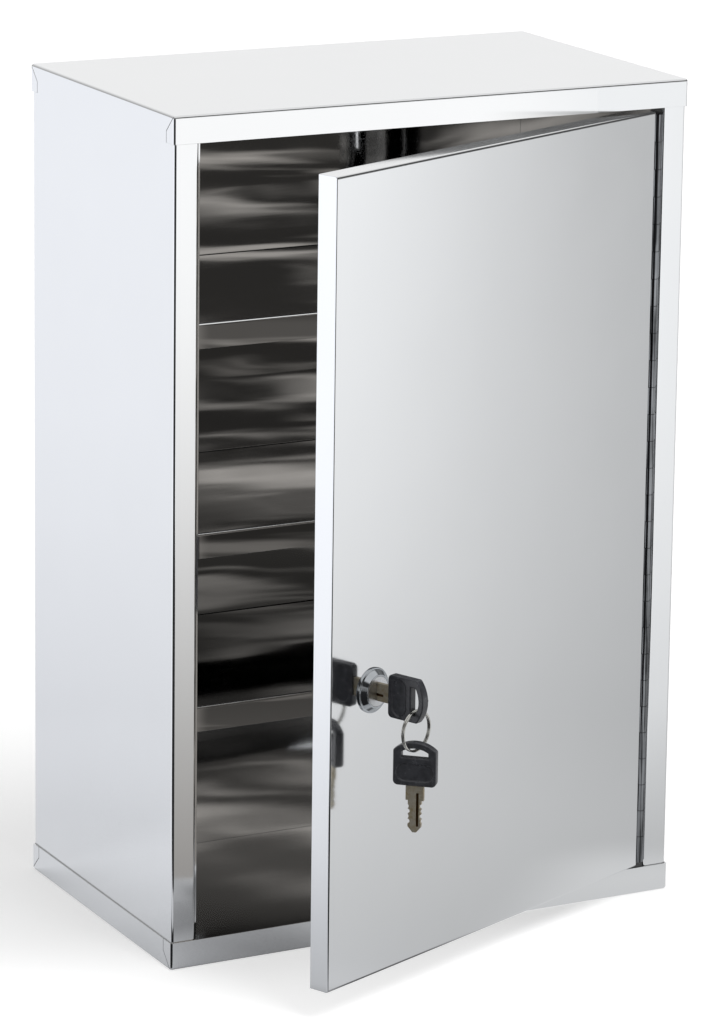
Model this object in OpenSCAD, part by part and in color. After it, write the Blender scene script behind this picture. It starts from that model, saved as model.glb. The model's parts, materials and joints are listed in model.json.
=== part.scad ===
// Lockable medicine cabinet in folded stainless sheet, standing on its base or hung on a wall.
// Frame: origin at the middle of the base, +X to the hinge side, +Y to the back, +Z up.
// The door stands ajar, and every joint's zero is the pose that is drawn here.

/* [Cabinet] */
// Outside width over the trays
cab_w = 300; // [260:1:420]
// Outside depth over the trays
cab_d = 180; // [140:1:260]
// Outside height over the trays
cab_h = 450; // [410:1:600]
// Thickness of all the folded sheet
sheet = 0.8; // [0.6:0.1:1.2]
// Height of the skirts of the top and bottom trays
skirt_h = 14.7; // [10:0.1:22]
// Slack between a tray's skirt and the side or back inside it
nest = 0.1; // [0.05:0.05:0.4]
// Width of the front stiles, from the outside of the cabinet
stile_w = 14.7; // [12:0.1:22]
// Depth of the flange that each stile turns back into the cabinet
return_d = 13.4; // [13:0.1:18]
// Width of the stop lip that the door closes against
lip_w = 6; // [4:0.5:9]
// Width of the flanges at the back of the sides, which carry the back panel
back_flange = 12; // [8:1:20]

/* [Wall fixing] */
// Radius of the four screw holes in the back
fix_r = 3.25; // [2:0.25:4.5]
// Distance between the holes across the back
fix_x = 200; // [120:10:220]
// Distance between the holes up the back
fix_z = 300; // [280:5:350]
// Height of the lower pair of holes
fix_low = 80; // [40:5:90]

/* [Shelves] */
// Height of the lowest shelf's top
bay_1 = 134; // [100:1:150]
// Rise from the lowest shelf to the middle one
bay_2 = 93; // [85:1:110]
// Rise from the middle shelf to the upper one
bay_3 = 111; // [50:1:120]
// Height of the lip that each shelf turns down in front
shelf_lip = 13.5; // [8:0.5:20]
// Height of the flanges by which a shelf is welded to the sides and back
shelf_flange = 9; // [6:0.5:14]
// Setback of the shelves from the front of the cabinet
shelf_setback = 20; // [19.5:0.5:30]

/* [Door] */
// Gap between the door and the stile on the lock side
free_gap = 3.3; // [1.5:0.1:5]
// Gap between the door and the trays' skirts
rail_gap = 1.3; // [0.8:0.1:3]
// Thickness of the door over both sheets
door_t = 12; // [10:0.1:12.2]
// Width of the rims that carry the door's inner sheet
door_rim = 8; // [5:0.5:14]
// Slack around the door's inner sheet
liner_gap = 0.3; // [0.1:0.1:1]
// How far the door stands open as drawn
door_rest = 23; // [0:1:70]

/* [Hinge] */
// Outside radius of the knuckles
knuckle_r = 2.4; // [2:0.1:2.8]
// Radius of the hinge pin
pin_r = 1; // [0.7:0.1:1.3]
// Radial slack of the pin in the door's knuckles
pin_fit = 0.05; // [0.02:0.01:0.1]
// Distance between knuckles, centre to centre
knuckle_pitch = 14.8; // [10:0.1:24]
// Gap between neighbouring knuckles
knuckle_gap = 0.3; // [0.1:0.05:0.6]
// Gap between a knuckle and the sheet that it turns past
knuckle_clear = 0.5; // [0.3:0.1:0.8]
// Depth of the hinge pin behind the cabinet's front
hinge_depth = 1.2; // [0.6:0.1:1.8]
// Free length of the hinge below and above the knuckles
hinge_end = 1.5; // [1:0.1:6]

/* [Lock] */
// Distance of the lock from the door's free edge
lock_inset = 32; // [26:1:50]
// Height of the lock above the base
lock_z = 168; // [160:1:172]
// Radius of the lock's flange
flange_r = 11.75; // [11:0.05:13]
// Thickness of the flange's rim
flange_rim = 1; // [0.6:0.1:1.6]
// How far the lock's nose stands out of the door
nose_h = 3.7; // [3:0.1:5]
// Radius of the nose's front edge
nose_r = 8.7; // [8.4:0.1:9.5]
// Radius of the threaded barrel
barrel_r = 9.3; // [9:0.1:10]
// Width over the barrel's two flats
barrel_flats = 16.4; // [15.6:0.1:17.6]
// Slack of the barrel in the door's hole
barrel_fit = 0.2; // [0.1:0.05:0.4]
// Length of the barrel behind the door's front
barrel_len = 14; // [13:0.1:14.2]
// Radius of the plug's shank
plug_r = 6.45; // [6.2:0.05:6.6]
// Radius of the plug's face
face_r = 7.8; // [7.2:0.1:8]
// Thickness of the plug's face
face_t = 1.5; // [1:0.1:2]
// Radial slack of the plug in the barrel
plug_fit = 0.05; // [0.02:0.01:0.1]
// Slack behind the plug's shoulder and in front of the cam
plug_end = 0.3; // [0.1:0.05:0.5]
// Number of wafers in the plug
wafer_n = 5; // [3:1:5]
// Distance between wafers
wafer_pitch = 2.2; // [1.8:0.1:2.3]
// Thickness of a wafer
wafer_t = 0.8; // [0.5:0.1:1]
// Width across the flats of the lock's nut
nut_af = 24; // [22:0.5:26]
// Thickness of the nut
nut_t = 4; // [3:0.5:6]
// Thickness of the cam
cam_t = 2; // [1.5:0.1:2.2]
// Width of the cam
cam_w = 14; // [12:0.5:18]
// How far the turned cam passes behind the stop lip
cam_bite = 5; // [3:0.5:6]
// Side of the square that drives the cam
cam_square = 7; // [6:0.5:8]
// Radius of the cam screw's thread
screw_r = 2; // [1.5:0.1:2.5]

/* [Keys] */
// Length of a key's blade
blade_len = 24.5; // [22:0.1:24.7]
// Length of the blade's wide neck, which stays outside the lock
neck_len = 7.8; // [7.6:0.1:9]
// Width of the neck
neck_w = 9.4; // [8:0.1:10]
// Width of the blade beyond the neck
blade_w = 7; // [6:0.1:7.4]
// Thickness of the blade
blade_t = 2; // [1.6:0.1:2.4]
// Slack around the blade in its keyway
key_fit = 0.2; // [0.1:0.05:0.3]
// Length of the plastic head
head_len = 22.8; // [21:0.1:25]
// Width of the head
head_w = 22.4; // [21.8:0.1:23]
// Thickness of the head
head_t = 4.5; // [4:0.1:4.8]
// Radius of the head's arched end
head_arch = 16.2; // [14:0.1:20]
// Thickness of the bar between the head's slot and its end
head_bar = 3.3; // [2.8:0.1:3.6]
// Length of the slot across the head
slot_len = 13.8; // [13.4:0.1:14]
// Height of the slot at its middle
slot_h = 4.8; // [4.6:0.1:5.4]
// Radius of the split ring, to the middle of its wire
ring_r = 10.35; // [10.25:0.05:12]
// Radius of the ring's wire
wire_r = 0.55; // [0.4:0.05:0.6]
// Sideways turn of the hanging key on the ring
spare_yaw = 25; // [0:1:28]

/* [Hidden] */
$fn = 64;
bite = 0.01;                                  // overlap where one body is drawn in two steps
through = 1;                                  // overrun of a cut past the sheet it opens

// Cabinet
front_y = -cab_d / 2;
inset = sheet + nest;                         // the body stands this far inside the trays
body_x = cab_w / 2 - inset;                   // outside of the side walls
wall_x = body_x - sheet;                      // inside of the side walls
body_front = front_y + inset;
body_back = cab_d / 2 - inset;
back_in = body_back - 2 * sheet;              // inside of the back panel
opening_x = cab_w / 2 - stile_w;              // half the width of the front opening
return_y = front_y + return_d;                // back of the stiles' return flanges
fix_mid = fix_low + fix_z / 2;

// Shelves
shelf_front = front_y + shelf_setback;
shelf_1 = bay_1;
shelf_2 = bay_1 + bay_2;
shelf_3 = bay_1 + bay_2 + bay_3;

// Hinge and door, with the door shut
leaf_x = knuckle_r + knuckle_clear;           // from the pin to either leaf's outer face
hinge_x = opening_x - leaf_x;
hinge_y = front_y + hinge_depth;
door_low = skirt_h + rail_gap;
door_high = cab_h - skirt_h - rail_gap;
door_left = -opening_x + free_gap;
door_right = hinge_x - leaf_x;
door_back = front_y + door_t;
liner_front = door_back - sheet;
knuckle_room = door_high - door_low - 2 * hinge_end;
knuckle_n = floor(knuckle_room / knuckle_pitch);
hinge_low = (door_low + door_high - knuckle_n * knuckle_pitch) / 2;
leaf_front = hinge_y + knuckle_r + knuckle_clear;

// Lock, along its axis from the door's front, outwards positive
lock_x = door_left + lock_inset;
barrel_end = -barrel_len + plug_end;          // back of the barrel
plug_back = -barrel_len;                      // shoulder that the cam sits on
cam_back = plug_back - cam_t;
key_stop = nose_h + key_fit / 2;              // front of the plug, where the neck stops
key_x = key_stop + neck_len;                  // where the head begins
blade_tip = key_x - blade_len;
keyway_end = blade_tip - key_fit;
screw_tip = keyway_end - key_fit;
nut_room = 1.2;                               // around the nut, for a spanner
liner_hole_r = nut_af / sqrt(3) + nut_room;
stop_x = -opening_x + lip_w;                  // free edge of the stop lip
cam_len = lock_x - stop_x + cam_bite;
wafer_back = 1.9;                             // from the keyway's end to the rearmost wafer
wafer_w = 5.4;
wafer_h = 11.4;
wafer_slack = 0.1;
nose_step = 0.9;                              // ledge between the flange's edge and the nose's cone
screw_head_r = 2.2 * screw_r;
screw_head_h = 2.2;
screw_slot = 0.8;
screw_slot_depth = 1.4;

// Keys, along the key from the blade's end of the head
arch_x = head_len - head_arch;                // centre of the arched end
slot_top = head_len - head_bar;
slot_low = slot_top - slot_h;
slot_end_x = arch_x + sqrt(pow(head_arch - head_bar, 2) - pow(slot_len / 2, 2));
ring_x = (slot_low + slot_end_x) / 2;         // the ring lies in the narrow end of the slot
ring_pair = wire_r * 0.95;                    // half the distance between the ring's two turns
ring_clear = 0.3;                             // least gap between the ring and the head
head_rim = (head_w - slot_len) / 2;           // what the ring hangs around
ring_lean = 0.85;                             // how far the ring's pivot lies off the rim's middle
rim_diagonal = norm([head_rim, head_t]) / 2;
ring_arm = ring_r - wire_r - ring_clear - rim_diagonal + norm([ring_lean, ring_lean]);
ring_pivot = [ring_lean, ring_lean - (slot_len + head_rim) / 2];
ring_mid = [ring_pivot[0], ring_pivot[1] - ring_arm];
hang_gap = 1.5;                               // from the ring's wire to the slot's edge above it
tip_len = 3;                                  // pointed end of the blade
tip_w = 2;
cut_n = 4;                                    // cuts along each edge of the blade
cut_r = 1.3;
cut_pitch = 2.6;
cut_first = 3.2;                              // from the neck to the middle of the first cut
groove_w = 1.4;                               // of the groove in the blade's face
groove_d = 0.6;
groove_off = 0.7;
function cut_lift(i, side) = 0.3 + ((i + (side > 0 ? 1 : 0)) % 2) * 0.5;
panel_depth = 0.6;                            // of the oval recess in the head's faces
panel_r = 4.3;
panel_x = 7;
panel_edge = 1.8;                             // from the recess's ends to the head's sides

module slab(lo, hi) {
    translate(lo) cube(hi - lo);
}

// A sheet box open on one side: the outer box, less what lies inside its walls
module tray(flip) {
    move = flip ? cab_h : 0;
    translate([0, 0, move]) mirror([0, 0, flip ? 1 : 0]) difference() {
        slab([-cab_w / 2, -cab_d / 2, 0], [cab_w / 2, cab_d / 2, skirt_h]);
        slab([sheet - cab_w / 2, sheet - cab_d / 2, sheet],
            [cab_w / 2 - sheet, cab_d / 2 - sheet, skirt_h + through]);
    }
}

module top_tray() {
    color("gainsboro") tray(true);
}

module bottom_tray() {
    color("silver") tray(false);
}

// One side seen in plan, drawn for the right: wall, stile, return flange and rear flange
module side_plan() {
    translate([wall_x, body_front]) square([sheet, body_back - body_front]);
    translate([opening_x, body_front]) square([body_x - opening_x, sheet]);
    translate([opening_x, body_front]) square([sheet, return_y - body_front]);
    translate([body_x - back_flange, body_back - sheet]) square([back_flange, sheet]);
}

module right_side() {
    color("lightgray") translate([0, 0, sheet]) linear_extrude(cab_h - 2 * sheet) side_plan();
}

// The lock side also has the lip that stops the door and holds the cam
module left_side() {
    color("lightgray") translate([0, 0, sheet]) linear_extrude(cab_h - 2 * sheet) {
        mirror([1, 0]) side_plan();
        translate([-opening_x - sheet, return_y - sheet]) square([sheet + lip_w, sheet]);
    }
}

module back_panel() {
    color("silver") difference() {
        slab([-wall_x, back_in, sheet], [wall_x, back_in + sheet, cab_h - sheet]);
        for (x = [-fix_x / 2, fix_x / 2], z = [-fix_z / 2, fix_z / 2])
            translate([x, back_in + sheet + through, fix_mid + z]) rotate([90, 0, 0])
                cylinder(r = fix_r, h = sheet + 2 * through);
    }
}

// A shelf with its top at height z: lip in front, flanges at the sides and back
module shelf(z) {
    color("silver") difference() {
        slab([-wall_x, shelf_front, z - shelf_lip], [wall_x, back_in, z]);
        slab([sheet - wall_x, shelf_front + sheet, z - shelf_lip - through],
            [wall_x - sheet, back_in - sheet, z - sheet]);
        slab([-wall_x - through, shelf_front + sheet, z - shelf_lip - through],
            [wall_x + through, back_in + through, z - shelf_flange]);
    }
}

module upper_shelf() shelf(shelf_3);

module middle_shelf() shelf(shelf_2);

module lower_shelf() shelf(shelf_1);

// Places what is drawn with the door shut at the angle where the door stands
module on_door() {
    translate([hinge_x, hinge_y, 0]) rotate(door_rest) translate([-hinge_x, -hinge_y, 0]) children();
}

// Half of the hinge, drawn about the pin with its leaf on the right: side, first knuckle, bore
module hinge_half(first, bore_r, back) {
    height = knuckle_n * knuckle_pitch;
    difference() {
        union() {
            slab([leaf_x - sheet, leaf_front - hinge_y, 0], [leaf_x, back - hinge_y, height]);
            for (i = [first:2:knuckle_n - 1]) translate([0, 0, i * knuckle_pitch + knuckle_gap / 2]) {
                cylinder(r = knuckle_r, h = knuckle_pitch - knuckle_gap);
                slab([leaf_x - sheet, 0, 0],
                    [leaf_x, leaf_front - hinge_y + bite, knuckle_pitch - knuckle_gap]);
            }
        }
        translate([0, 0, -through]) cylinder(r = bore_r, h = height + 2 * through);
    }
}

module hinge_frame_leaf() {
    color("gray") translate([hinge_x, hinge_y, hinge_low]) hinge_half(0, pin_r, return_y);
}

module hinge_door_leaf() {
    color("dimgray") on_door() translate([hinge_x, hinge_y, hinge_low]) mirror([1, 0, 0])
        hinge_half(1, pin_r + pin_fit, door_back);
}

module hinge_pin() {
    color("darkgray") translate([hinge_x, hinge_y, hinge_low])
        cylinder(r = pin_r, h = knuckle_n * knuckle_pitch);
}

// Lock frame: x to the right, y up and z out of the door along the lock's axis
module at_lock() {
    on_door() translate([lock_x, front_y, lock_z]) rotate([90, 0, 0]) children();
}

// The barrel's outline: round with two flats, so that it can't turn in the door
module barrel_plan(slack) {
    intersection() {
        circle(r = barrel_r + slack);
        square([barrel_flats + 2 * slack, 3 * barrel_r], center = true);
    }
}

module door_pan() {
    rim = sheet + door_rim;
    color("whitesmoke") difference() {
        on_door() difference() {
            slab([door_left, front_y, door_low], [door_right, door_back, door_high]);
            slab([door_left + sheet, front_y + sheet, door_low + sheet],
                [door_right - sheet, liner_front - sheet, door_high - sheet]);
            slab([door_left + sheet, liner_front, door_low + sheet],
                [door_right - sheet, door_back + through, door_high - sheet]);
            slab([door_left + rim, front_y + sheet, door_low + rim],
                [door_right - rim, door_back + through, door_high - rim]);
        }
        at_lock() translate([0, 0, -sheet - through]) linear_extrude(sheet + 2 * through)
            barrel_plan(barrel_fit);
    }
}

module door_liner() {
    edge = sheet + liner_gap;
    color("silver") difference() {
        on_door() slab([door_left + edge, liner_front, door_low + edge],
            [door_right - edge, door_back, door_high - edge]);
        at_lock() translate([0, 0, -door_t - through]) cylinder(r = liner_hole_r, h = sheet + 2 * through);
    }
}

module lock_barrel() {
    bore = plug_r + plug_fit;
    color("lightsteelblue") at_lock() difference() {
        union() {
            translate([0, 0, barrel_end]) linear_extrude(-barrel_end + bite) barrel_plan(0);
            cylinder(r = flange_r, h = flange_rim);
            translate([0, 0, flange_rim])
                cylinder(r1 = flange_r - nose_step, r2 = nose_r, h = nose_h - flange_rim);
        }
        translate([0, 0, barrel_end - through]) cylinder(r = bore, h = barrel_len + nose_h + 2 * through);
        translate([0, 0, nose_h - face_t]) cylinder(r = face_r + plug_fit, h = face_t + through);
    }
}

module lock_nut() {
    color("silver") at_lock() translate([0, 0, -sheet - nut_t]) difference() {
        cylinder(r = nut_af / sqrt(3), h = nut_t, $fn = 6);
        translate([0, 0, -through]) cylinder(r = barrel_r, h = nut_t + 2 * through);
    }
}

// Back of the wafer at place i, counted from the cam forwards
function wafer_at(i) = keyway_end + wafer_back + i * wafer_pitch;

module lock_plug() {
    color("gainsboro") at_lock() difference() {
        union() {
            translate([0, 0, nose_h - face_t + plug_fit]) cylinder(r = face_r, h = face_t - plug_fit);
            translate([0, 0, plug_back]) cylinder(r = plug_r, h = barrel_len + nose_h - plug_fit);
            translate([-cam_square / 2, -cam_square / 2, cam_back])
                cube([cam_square, cam_square, cam_t + bite]);
        }
        slab([-blade_t / 2 - key_fit, -blade_w / 2 - key_fit, keyway_end],
            [blade_t / 2 + key_fit, blade_w / 2 + key_fit, nose_h + through]);
        for (i = [0:wafer_n - 1])
            slab([-wafer_w / 2 - wafer_slack, -wafer_h / 2 - wafer_slack, wafer_at(i) - wafer_slack],
                [wafer_w / 2 + wafer_slack, wafer_h / 2 + wafer_slack,
                    wafer_at(i) + wafer_t + wafer_slack]);
        translate([0, 0, cam_back - through]) cylinder(r = screw_r, h = screw_tip - cam_back + through);
    }
}

// Flat plates across the plug, each with a window for the blade
module lock_wafers() {
    color("goldenrod") at_lock() for (i = [0:wafer_n - 1])
        translate([0, 0, wafer_at(i)]) linear_extrude(wafer_t) difference() {
            square([wafer_w, wafer_h], center = true);
            square([blade_t + 2 * key_fit, blade_w + 2 * key_fit], center = true);
        }
}

// The cam points up while the lock is open, and a quarter turn takes it to the stile
module lock_cam() {
    tip_r = cam_w / 4;
    color("slategray") at_lock() translate([0, 0, cam_back]) linear_extrude(cam_t) difference() {
        union() {
            circle(r = cam_w / 2);
            translate([-cam_w / 2, 0]) square([cam_w, cam_len - tip_r]);
            translate([-cam_w / 2 + tip_r, 0]) square([cam_w - 2 * tip_r, cam_len]);
            for (x = [-1, 1]) translate([x * (cam_w / 2 - tip_r), cam_len - tip_r]) circle(r = tip_r);
        }
        square(cam_square, center = true);
    }
}

module cam_screw() {
    color("darkgray") at_lock() difference() {
        union() {
            translate([0, 0, cam_back]) cylinder(r = screw_r, h = screw_tip - cam_back);
            translate([0, 0, cam_back - screw_head_h]) cylinder(r = screw_head_r, h = screw_head_h);
        }
        for (a = [0, 90]) rotate(a)
            translate([-screw_r, -screw_slot / 2, cam_back - screw_head_h - through])
                cube([2 * screw_r, screw_slot, screw_slot_depth + through]);
    }
}

// Key plane: x along the key to the end of its head, y across it, z through its thickness
module in_lock() {
    at_lock() rotate([0, -90, 0]) translate([key_x, 0, 0]) children();
}

module on_ring() {
    at_lock() translate([ring_mid[0], ring_mid[1] - ring_r, key_x + ring_x]) rotate([0, spare_yaw, 0])
        rotate([-90, 0, 0]) rotate([0, -90, 0]) translate([hang_gap - slot_top, 0, 0]) children();
}

// A blade with cuts along both edges, a milled groove in one face and a pointed tip
module blade() {
    half = [[0, neck_w / 2], [-neck_len, neck_w / 2], [-neck_len, blade_w / 2],
        [tip_len - blade_len, blade_w / 2], [-blade_len, tip_w / 2]];
    difference() {
        translate([0, 0, -blade_t / 2]) linear_extrude(blade_t) difference() {
            polygon(concat(half, [for (i = [len(half) - 1:-1:0]) [half[i][0], -half[i][1]]]));
            for (i = [0:cut_n - 1], side = [-1, 1])
                translate([-neck_len - cut_first - i * cut_pitch, side * (blade_w / 2 + cut_lift(i, side))])
                    circle(r = cut_r);
        }
        slab([tip_len - blade_len, -groove_off - groove_w, blade_t / 2 - groove_d],
            [-neck_len / 2, -groove_off, blade_t]);
    }
}

module head_plan() {
    corner = 2.5;
    intersection() {
        union() {
            translate([0, corner - head_w / 2]) square([head_len, head_w - 2 * corner]);
            translate([corner, -head_w / 2]) square([head_len, head_w]);
            for (y = [-1, 1]) translate([corner, y * (head_w / 2 - corner)]) circle(r = corner);
        }
        translate([arch_x, 0]) circle(r = head_arch, $fn = 160);
    }
}

module slot_plan() {
    intersection() {
        translate([slot_low, -slot_len / 2]) square([slot_h, slot_len]);
        translate([arch_x, 0]) circle(r = head_arch - head_bar, $fn = 160);
    }
}

// The moulded head: arched end, slot for the ring, an oval recess in each face
module head() {
    half = head_w / 2 - panel_r - panel_edge;
    translate([0, 0, -head_t / 2]) difference() {
        linear_extrude(head_t) difference() {
            head_plan();
            slot_plan();
        }
        for (z = [-through, head_t - panel_depth]) translate([panel_x, 0, z]) {
            translate([-panel_r, -half, 0]) cube([2 * panel_r, 2 * half, panel_depth + through]);
            for (y = [-half, half]) translate([0, y, 0]) cylinder(r = panel_r, h = panel_depth + through);
        }
    }
}

module key_blade() {
    color("tan") in_lock() blade();
}

module key_head() {
    color("#262829") in_lock() head();
}

module spare_blade() {
    color("tan") on_ring() blade();
}

module spare_head() {
    color("#262829") on_ring() head();
}

// Two turns of wire, parallel to the door, around the lower rim of the key's head
module key_ring() {
    color("silver") at_lock() translate([ring_mid[0], ring_mid[1], key_x + ring_x])
        for (z = [-ring_pair, ring_pair]) translate([0, 0, z]) rotate_extrude($fn = 96)
            translate([ring_r, 0]) circle(r = wire_r, $fn = 24);
}

top_tray();
bottom_tray();
left_side();
right_side();
back_panel();
upper_shelf();
middle_shelf();
lower_shelf();
hinge_frame_leaf();
hinge_pin();
hinge_door_leaf();
door_pan();
door_liner();
lock_barrel();
lock_nut();
lock_plug();
lock_wafers();
lock_cam();
cam_screw();
key_blade();
key_head();
key_ring();
spare_blade();
spare_head();
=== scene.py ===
"""Finishes and fine detail of a lockable medicine cabinet in folded stainless sheet.

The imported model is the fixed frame: bent edges, seams, rolled knuckles, welds, threads, the
coiled ring and every finish are made here around it.
"""

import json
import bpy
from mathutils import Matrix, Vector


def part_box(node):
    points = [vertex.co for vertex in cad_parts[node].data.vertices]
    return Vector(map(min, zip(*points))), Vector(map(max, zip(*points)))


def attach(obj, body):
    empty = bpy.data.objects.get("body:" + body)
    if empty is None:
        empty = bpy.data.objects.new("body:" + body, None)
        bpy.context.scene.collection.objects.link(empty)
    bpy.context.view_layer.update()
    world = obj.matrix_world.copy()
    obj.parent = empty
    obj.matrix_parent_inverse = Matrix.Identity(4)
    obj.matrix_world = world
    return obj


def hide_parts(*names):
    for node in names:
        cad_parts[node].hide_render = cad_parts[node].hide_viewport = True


bl_info = {
    "name": "Lockable medicine cabinet",
    "version": (1, 0, 0),
    "blender": (4, 5, 0),
    "location": "View3D > Sidebar > Cabinet",
    "description": "Bent sheet, hinge, cam lock, keys and studio for a stainless medicine cabinet",
    "category": "Object",
}

from math import cos, pi, radians, sin

import bmesh
import bpy
from bpy.props import FloatProperty, FloatVectorProperty, IntProperty, PointerProperty
from mathutils import Matrix, Quaternion, Vector
from mathutils.bvhtree import BVHTree

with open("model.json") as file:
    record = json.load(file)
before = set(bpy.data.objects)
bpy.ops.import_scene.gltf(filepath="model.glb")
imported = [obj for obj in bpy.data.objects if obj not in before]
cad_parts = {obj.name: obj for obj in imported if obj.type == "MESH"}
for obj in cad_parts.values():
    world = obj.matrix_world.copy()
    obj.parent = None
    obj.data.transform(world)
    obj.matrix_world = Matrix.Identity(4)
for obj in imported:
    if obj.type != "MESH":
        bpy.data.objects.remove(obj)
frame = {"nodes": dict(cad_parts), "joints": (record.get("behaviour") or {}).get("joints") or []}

MM = 0.001
UP = Vector((0, 0, 1))


def rgb(code):
    """Linear red, green and blue of an sRGB colour written as six hex digits."""
    shares = [int(code[i : i + 2], 16) / 255 for i in (0, 2, 4)]
    return [c / 12.92 if c <= 0.04045 else ((c + 0.055) / 1.055) ** 2.4 for c in shares]


def joint(name):
    """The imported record's joint of that name."""
    return next(j for j in frame["joints"] if j["name"] == name)


# ---- places taken from the frame

HINGE = joint("door_hinge")
LOCK = joint("lock_turn")
DOOR_OUT = Vector(LOCK["axis"]).normalized()
DOOR_RIGHT = UP.cross(-DOOR_OUT)
DOOR_OPEN = -radians(HINGE["range_deg"][0])
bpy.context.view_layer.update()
# The closed door pan's corners, seen from the hinge
HINGE_POINT = Vector(HINGE["pos_m"])
SWING = Matrix.Rotation(DOOR_OPEN, 4, "Z")
PAN_POINTS = [SWING.inverted() @ (v.co - HINGE_POINT) for v in frame["nodes"]["door_pan"].data.vertices]
PAN_LOW, PAN_HIGH = (Vector(map(pick, zip(*PAN_POINTS))) for pick in (min, max))


def square_to(x_axis, y_axis, z_axis, origin):
    """Matrix from a drawing with those three axes, placed at origin, to the shared frame."""
    turn = Matrix((x_axis, y_axis, z_axis)).transposed().to_4x4()
    return Matrix.Translation(origin) @ turn


# Lock drawing: x to the right along the door, y up, z out of the door on the lock's axis
LOCK_FRAME = square_to(DOOR_RIGHT, UP, DOOR_OUT, Vector(LOCK["pos_m"]))
# Hinge drawing: z up the pin, x to the hinge side and y to the back
LEAF_LOW, LEAF_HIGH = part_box("hinge_frame_leaf")
PIN_LOW, PIN_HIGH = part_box("hinge_pin")
PIN_FOOT = Vector((*((PIN_LOW + PIN_HIGH) / 2).xy, PIN_LOW.z))
PIN_RADIUS = (PIN_HIGH.x - PIN_LOW.x) / 2
HINGE_FRAME = Matrix.Translation(PIN_FOOT)


# ---- settings


def length(name, description, millimetres):
    """A setting that is a length, given in millimetres."""
    return FloatProperty(name=name, description=description, unit="LENGTH", default=millimetres * MM)


def colour(name, description, code):
    """A setting that is a colour, given as six hex digits."""
    return FloatVectorProperty(
        name=name, description=description, subtype="COLOR", default=rgb(code), min=0, max=1
    )


def number(name, description, default):
    """A setting that is a plain number."""
    return FloatProperty(name=name, description=description, default=default)


class SheetSettings(bpy.types.PropertyGroup):
    """Sizes and colours of the folded sheet."""

    color: colour("Steel", "Reflectance of the polished stainless sheet", "EDEEEF")
    thickness: length("Thickness", "Thickness of the sheet", 0.8)
    bend: length("Bend", "Outside radius of a bend", 1.5)
    inner_bend: length("Inner bend", "Inside radius of a bend", 0.35)
    deburr: length("Deburr", "Rounding of cut edges", 0.12)
    polish: number("Roughness", "Roughness of clean polished sheet", 0.08)
    tab: length("Corner tab", "Width of the tabs at the trays' corners", 8.7)
    seam: length("Seam", "Width of the joint line at a tab", 0.4)


class HingeSettings(bpy.types.PropertyGroup):
    """Sizes of the piano hinge."""

    color: colour("Strip", "Reflectance of the rolled strip", "97999C")
    pitch: length("Pitch", "Distance between knuckles", 14.8)
    gap: length("Gap", "Gap between knuckles", 0.3)
    curl_slit: length("Slit", "Slit where the rolled strip meets itself", 0.3)


class LockSettings(bpy.types.PropertyGroup):
    """Sizes of the cam lock."""

    chrome: colour("Chrome", "Reflectance of the chrome plating", "B9BDC1")
    flange: length("Flange", "Radius of the flange", 11.75)
    nose: length("Nose", "How far the lock stands out", 3.7)
    thread_pitch: length("Thread", "Pitch of the barrel's thread", 1.0)


class KeySettings(bpy.types.PropertyGroup):
    """Sizes and colours of the keys and their ring."""

    plastic: colour("Head", "Colour of the moulded heads", "343539")
    nickel: colour("Blade", "Reflectance of the plated blades", "CBC4B4")
    edge: length("Head edge", "Rounding of the heads' edges", 0.7)
    wire: length("Wire", "Radius of the ring's wire", 0.55)


class StageSettings(bpy.types.PropertyGroup):
    """Direction, distance and lens of the camera."""

    azimuth: number("Azimuth", "Turn of the camera to the left of the front, in degrees", 28.13)
    elevation: number("Elevation", "Height of the camera above the horizon, in degrees", 12.06)
    roll: number("Roll", "Tilt of the camera, in degrees", 0.89)
    distance: length("Distance", "From the camera to its aim", 2511)
    lens: number("Lens", "Focal length in millimetres", 163.4)


# ---- meshes


def adjusted(thing, **settings):
    """A node, modifier, light or object with some of its settings changed."""
    for name, value in settings.items():
        setattr(thing, name, value)
    return thing


def welded(node):
    """A CAD node's mesh with its loose triangles joined and its flat faces made whole."""
    bm = bmesh.new()
    bm.from_mesh(frame["nodes"][node].data)
    bmesh.ops.remove_doubles(bm, verts=bm.verts, dist=0.001 * MM)
    bmesh.ops.dissolve_limit(bm, angle_limit=radians(0.5), verts=bm.verts, edges=bm.edges)
    return bm


def mark_edges(bm, outside, inside, cut, thickness, butt=None):
    """Gives each sharp edge the share of the outside radius that it is rounded by. On sheet of
    that thickness, an outer fold takes outside, an inner one inside, and a cut edge cut. Folds
    along butt are joints of two flanges and count as cut edges."""
    weight = bm.edges.layers.float.new("bevel_weight_edge")
    tree = BVHTree.FromBMesh(bm)
    bm.normal_update()
    # An edge that turns less is part of a curve, and more material behind one makes it a fold
    least_turn, fold_depth = radians(28), 1.4 * thickness
    for edge in bm.edges:
        if len(edge.link_faces) != 2 or edge.calc_face_angle(0) < least_turn:
            continue
        normals = [face.normal for face in edge.link_faces]
        start, end = (vert.co for vert in edge.verts)
        if not edge.is_convex:
            radius = inside
        else:
            # The material behind the two faces is measured from just under the edge
            under = (start + end) / 2 - (normals[0] + normals[1]).normalized() * 0.06 * MM
            depth = min(tree.ray_cast(under, -normal)[3] or 0 for normal in normals)
            radius = outside if depth > fold_depth else cut
        if butt is not None and abs((end - start).normalized().dot(butt)) > 0.99:
            radius = cut
        edge[weight] = radius / outside


def make_object(name, data, *materials):
    """A new object in the scene that holds some data, or the mesh of a bmesh, which is freed."""
    if isinstance(data, bmesh.types.BMesh):
        bm, data = data, bpy.data.meshes.new(name)
        bm.to_mesh(data)
        bm.free()
    for material in materials:
        data.materials.append(material)
    obj = bpy.data.objects.new(name, data)
    bpy.context.scene.collection.objects.link(obj)
    return obj


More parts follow.
